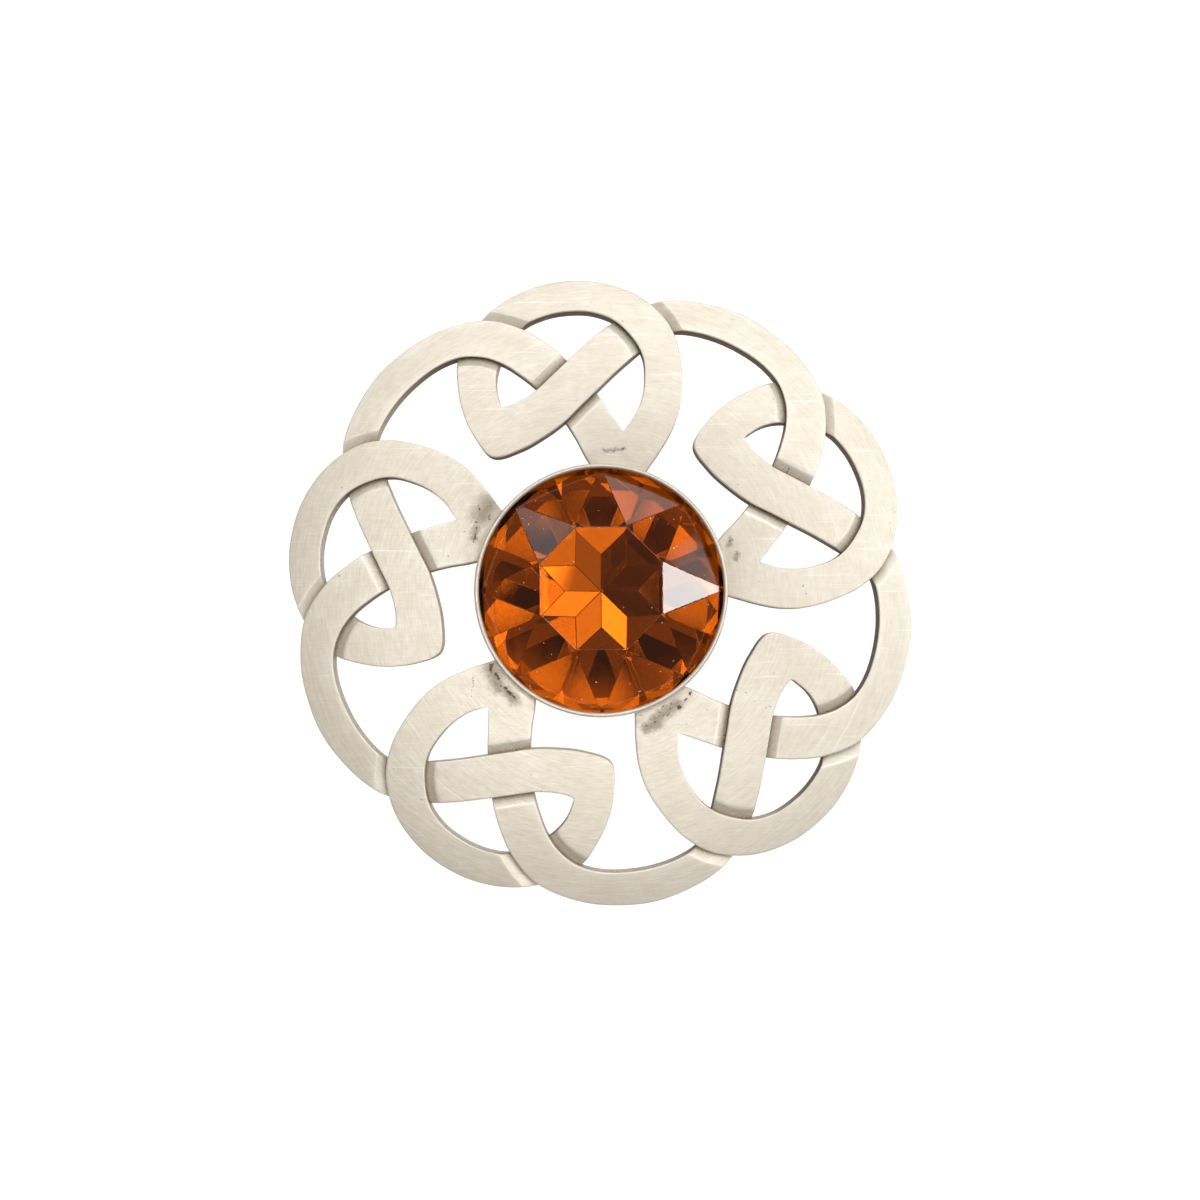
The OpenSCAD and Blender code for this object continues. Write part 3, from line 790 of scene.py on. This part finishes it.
def amber_materials():
    glass, tree, shader = new_material("amber_glass", AMBER, 0.0, 0.0)
    shader.inputs["IOR"].default_value = GLASS_IOR
    place = put(tree, "ShaderNodeTexCoord").outputs["Object"]
    dust = ramp_map(tree, noise(tree, place, 3300.0, 0.0, 0.4), 0.84, 0.87)
    waves = noise(tree, place, 260.0, 2.0, 0.5)
    tree.links.new(ramp_map(tree, dust, 0.0, 1.0, 1.0, 0.3), shader.inputs["Transmission Weight"])
    tree.links.new(mix_color(tree, dust, (*AMBER, 1), (1, 0.9, 0.8, 1)), shader.inputs["Base Color"])
    bump = put(tree, "ShaderNodeBump", {"Strength": 0.01, "Distance": 0.0003, "Height": waves}).outputs[0]
    tree.links.new(bump, shader.inputs["Normal"])

    foil, tree, shader = new_material("amber_foil", (0.45, 0.41, 0.32), 1.0, 0.05)
    place = put(tree, "ShaderNodeTexCoord").outputs["Object"]
    mottle = noise(tree, place, 420.0, 3.0, 0.55)
    silver = mix_color(tree, mottle, (0.42, 0.38, 0.29, 1), (0.48, 0.44, 0.35, 1))
    tree.links.new(silver, shader.inputs["Base Color"])
    tree.links.new(ramp_map(tree, mottle, 0.3, 0.7, 0.005, 0.02), shader.inputs["Roughness"])
    away = vector_calc(tree, "DOT_PRODUCT", place, AWAY_SIDE, out=1)
    facet = noise(tree, put(tree, "ShaderNodeTexCoord").outputs["Normal"], 5.0, 0.0)
    patch = noise(tree, place, 330.0, 1.0, 0.5)
    lit = calc(tree, "MULTIPLY", ramp_map(tree, facet, 0.42, 0.58, 0.1, 1.0),
               ramp_map(tree, patch, 0.40, 0.55, 0.4, 1.0, smooth=True))
    gathered = calc(tree, "MULTIPLY", ramp_map(tree, away, 0.006, 0.013, smooth=True), lit)
    # The facets of a real stone gather light there, and this faint glow stands for it.
    glow = mix_color(tree, gathered, (0, 0, 0, 1), (1.0, 0.36, 0.04, 1))
    tree.links.new(glow, shader.inputs["Emission Color"])
    shader.inputs["Emission Strength"].default_value = GATHERED_LIGHT
    bump = put(tree, "ShaderNodeBump", {"Strength": 0.003, "Distance": 0.0004, "Height": mottle}).outputs[0]
    tree.links.new(bump, shader.inputs["Normal"])
    return glass, foil


amber, foil = amber_materials()

# %% Pin steel
def steel_material():
    material, tree, shader = new_material("pin_steel", (0.62, 0.62, 0.60), 1.0, 0.32)
    place = put(tree, "ShaderNodeTexCoord").outputs["Object"]
    drawn = put(tree, "ShaderNodeMapping", {"Vector": place, "Scale": (300.0, 4200.0, 4200.0)}).outputs[0]
    lines = noise(tree, drawn, 1.0, 4.0, 0.6)
    dull = noise(tree, place, 300.0, 3.0, 0.55)
    tone = mix_color(tree, ramp_map(tree, dull, 0.35, 0.7), (0.66, 0.65, 0.62, 1), (0.44, 0.42, 0.38, 1))
    tree.links.new(tone, shader.inputs["Base Color"])
    tree.links.new(ramp_map(tree, lines, 0.3, 0.7, 0.25, 0.45), shader.inputs["Roughness"])
    bump = put(tree, "ShaderNodeBump", {"Strength": 0.3, "Distance": 0.00002, "Height": lines}).outputs[0]
    tree.links.new(bump, shader.inputs["Normal"])
    return material


steel = steel_material()


def dress(obj, *materials):
    which = [face.material_index for face in obj.data.polygons]
    obj.data.materials.clear()
    for material in materials:
        obj.data.materials.append(material)
    obj.data.polygons.foreach_set("material_index", [min(k, len(materials) - 1) for k in which])


dress(ring, pewter)
dress(stone, amber, foil)
dress(bpy.data.objects["brooch_pin"], steel)

# %% [markdown]
# ## Places in the frame
# Each new piece rides the one body, and the solid that it stands for is hidden.

# %% Ride and replace
for piece, node, slot in ((ring, "knotwork", "pewter"), (stone, "stone", "amber_glass")):
    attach(piece, "root")
    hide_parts(node)
for helper in (section, over_arc, over_loop):
    bpy.data.objects.remove(helper)
print("pieces:", ring.name, stone.name)

# %% [markdown]
# ## Floor, camera and light
# The brooch lies on a plain white table that glows evenly, seen from nearly overhead. The rest
# of the light comes from the sky: a broad window to the upper right, a pale ring round the lens
# that is dark in its middle, and lamps that stand where the facets of the stone look. The
# camera itself sees a plain pale wall.

# %% Floor and camera
FLOOR_HALF = 3
TABLE_LIGHT = 0.92
floor_corners = [(x * FLOOR_HALF, y * FLOOR_HALF, 0) for x, y in ((-1, -1), (1, -1), (1, 1), (-1, 1))]
floor_mesh = bpy.data.meshes.new("floor")
floor_mesh.from_pydata(floor_corners, [], [(0, 1, 2, 3)])
floor = bpy.data.objects.new("floor", floor_mesh)
scene.collection.objects.link(floor)
white, _, white_shader = new_material("white_table", (0.3, 0.3, 0.3), 0.0, 0.8)
white_shader.inputs["Emission Color"].default_value = (1, 1, 1, 1)
white_shader.inputs["Emission Strength"].default_value = TABLE_LIGHT
dress(floor, white)

TILT = math.radians(2.5)
ROLL = math.radians(-0.4)
DISTANCE = 0.120
LENS = 29.94
AIM = Vector((-0.00015, -0.00125, 0.0135))
camera = bpy.data.objects.new("camera", bpy.data.cameras.new("camera"))
scene.collection.objects.link(camera)
camera.data.lens = LENS
camera.data.sensor_width = 36
camera.data.clip_start = 0.001
camera.location = AIM + DISTANCE * Vector((0, -math.sin(TILT), math.cos(TILT)))
camera.rotation_euler = (AIM - camera.location).to_track_quat("-Z", "Y").to_euler()
camera.rotation_euler.rotate_axis("Z", ROLL)
scene.camera = camera

# %% [markdown]
# ## The sky
# A lamp's row says where it stands, in degrees round from the right and down from straight
# above, half its width and how soft its edge is, in degrees too, and how strong it is.

# %% Window, ring and lamps
PALE_WALL = (0.88, 0.88, 0.87, 1)
AZIMUTH, OFF_TOP, HALF, SOFT, POWER = range(5)
LAMPS = [
    [26, 54, 7, 2, 2.8],
    [69, 57, 6, 2, 1.8],
    [111, 57, 7, 2, 4.4],
    [3, 85, 5, 2, 5.5],
    [270, 74, 4, 1.5, 1.8],
    [318, 77, 4, 1.5, 1.8],
    [294, 50, 8, 3, 0.6],
    [341, 51, 7, 3, 0.9],
    [4, 59, 4.5, 1.5, 17.0],
    [24, 74, 1.5, 1, 2.0],
    [68, 76, 4, 1.5, 2.0],
    [132, 61, 4, 2, 1.8],
    [134, 29, 5, 2, 2.4],
    [1, 28, 5, 2, 2.6],
    [34, 14, 4, 2, 3.4],
    [105, 12, 3, 1.5, 3.0],
    [143, 8, 1.5, 1, 2.5],
    [36, 8.5, 2, 1, 0.6],
    [357, 7.5, 2, 1, 2.0],
    [183, 7.5, 2, 1, 2.0],
    [74, 11, 2.5, 1, 2.4],
    [218, 17, 5, 2, 3.6],
    [171, 20, 3, 1.5, 4.5],
    [341, 46, 4, 2, 5.0],
    [110, 9, 1.5, 1, 1.2],
    [6, 16.5, 2.5, 1, 1.8],
]
RING_FROM, RING_TO, RING_LIGHT = 6.0, 48, 0.56
WINDOW_AZ, WINDOW_HALF, WINDOW_TOP, WINDOW_BOTTOM, WINDOW_LIGHT = 68, 60, 25, 51, 1.6


def cosine(degrees):
    return math.cos(math.radians(degrees))


def ring_light(tree, direction, to_window):
    """A pale ring round the lens, dark in its middle, where the camera stands."""
    lens = (0, math.sin(TILT), math.cos(TILT))
    from_lens = calc(tree, "ARCCOSINE", vector_calc(tree, "DOT_PRODUCT", direction, lens, out=1))
    inside = ramp_map(tree, from_lens, math.radians(RING_FROM - 1.5),
                      math.radians(RING_FROM + 2.5), smooth=True)
    outside = ramp_map(tree, from_lens, math.radians(RING_TO + 4),
                       math.radians(RING_TO - 8), smooth=True)
    ring = calc(tree, "MULTIPLY", inside, outside)
    ring = calc(tree, "MULTIPLY", ring, ramp_map(tree, to_window, -0.6, 0.6, 1.26, 0.84))
    return calc(tree, "MULTIPLY", ring, RING_LIGHT)


def window_light(tree, direction, height):
    """A broad window with soft edges, between two heights in the sky."""
    azimuth = math.radians(WINDOW_AZ)
    flat = vector_calc(tree, "NORMALIZE", vector_calc(tree, "MULTIPLY", direction, (1.0, 1.0, 0.0)))
    turn = vector_calc(tree, "DOT_PRODUCT", flat, (math.cos(azimuth), math.sin(azimuth), 0.0), out=1)
    sides = ramp_map(tree, turn, cosine(WINDOW_HALF + 6), cosine(WINDOW_HALF - 6), smooth=True)
    sill = ramp_map(tree, height, cosine(WINDOW_BOTTOM + 1.5), cosine(WINDOW_BOTTOM - 1.5), smooth=True)
    head = ramp_map(tree, height, cosine(WINDOW_TOP - 4), cosine(WINDOW_TOP + 4), smooth=True)
    pane = calc(tree, "MULTIPLY", calc(tree, "MULTIPLY", sides, sill), head)
    return calc(tree, "MULTIPLY", pane, WINDOW_LIGHT)


def lamp_light(tree, direction, row):
    azimuth, off_top = math.radians(row[AZIMUTH]), math.radians(row[OFF_TOP])
    level = math.sin(off_top)
    middle = (level * math.cos(azimuth), level * math.sin(azimuth), math.cos(off_top))
    nearness = vector_calc(tree, "DOT_PRODUCT", direction, middle, out=1)
    edge, core = cosine(row[HALF] + row[SOFT]), cosine(max(row[HALF] - row[SOFT], 0))
    return ramp_map(tree, nearness, edge, core, 0.0, row[POWER], smooth=True)


def light_world():
    world = bpy.data.worlds.new("studio")
    scene.world = world
    world.use_nodes = True
    tree = world.node_tree
    background = tree.nodes["Background"]
    direction = put(tree, "ShaderNodeTexCoord").outputs["Generated"]
    height = put(tree, "ShaderNodeSeparateXYZ", {0: direction}).outputs[2]
    to_window = vector_calc(tree, "DOT_PRODUCT", direction, WINDOW_SIDE, out=1)
    room = calc(tree, "ADD", ramp_map(tree, height, -0.2, 1.0, 0.10, 0.16),
                ring_light(tree, direction, to_window))
    total = window_light(tree, direction, height)
    for row in LAMPS:
        total = calc(tree, "ADD", total, lamp_light(tree, direction, row))
    tint = mix_color(tree, ramp_map(tree, to_window, -0.6, 0.6), (1.0, 0.95, 0.87, 1), (1.0, 0.985, 0.95, 1))
    color = vector_calc(tree, "ADD", scaled(tree, tint, room), scaled(tree, (1.0, 0.985, 0.965), total))
    # The lamps are for the brooch alone: seen from the side, the room is a plain pale wall.
    seen = put(tree, "ShaderNodeLightPath").outputs["Is Camera Ray"]
    tree.links.new(mix_color(tree, seen, color, PALE_WALL), background.inputs["Color"])
    world.cycles.sampling_method = "MANUAL"
    world.cycles.sample_map_resolution = 512


light_world()
scene.view_settings.view_transform = "Standard"
scene.cycles.max_bounces = 12
scene.cycles.transmission_bounces = 12
scene.cycles.glossy_bounces = 8
scene.cycles.diffuse_bounces = 2
scene.cycles.use_denoising = True
print("lamps:", len(LAMPS))
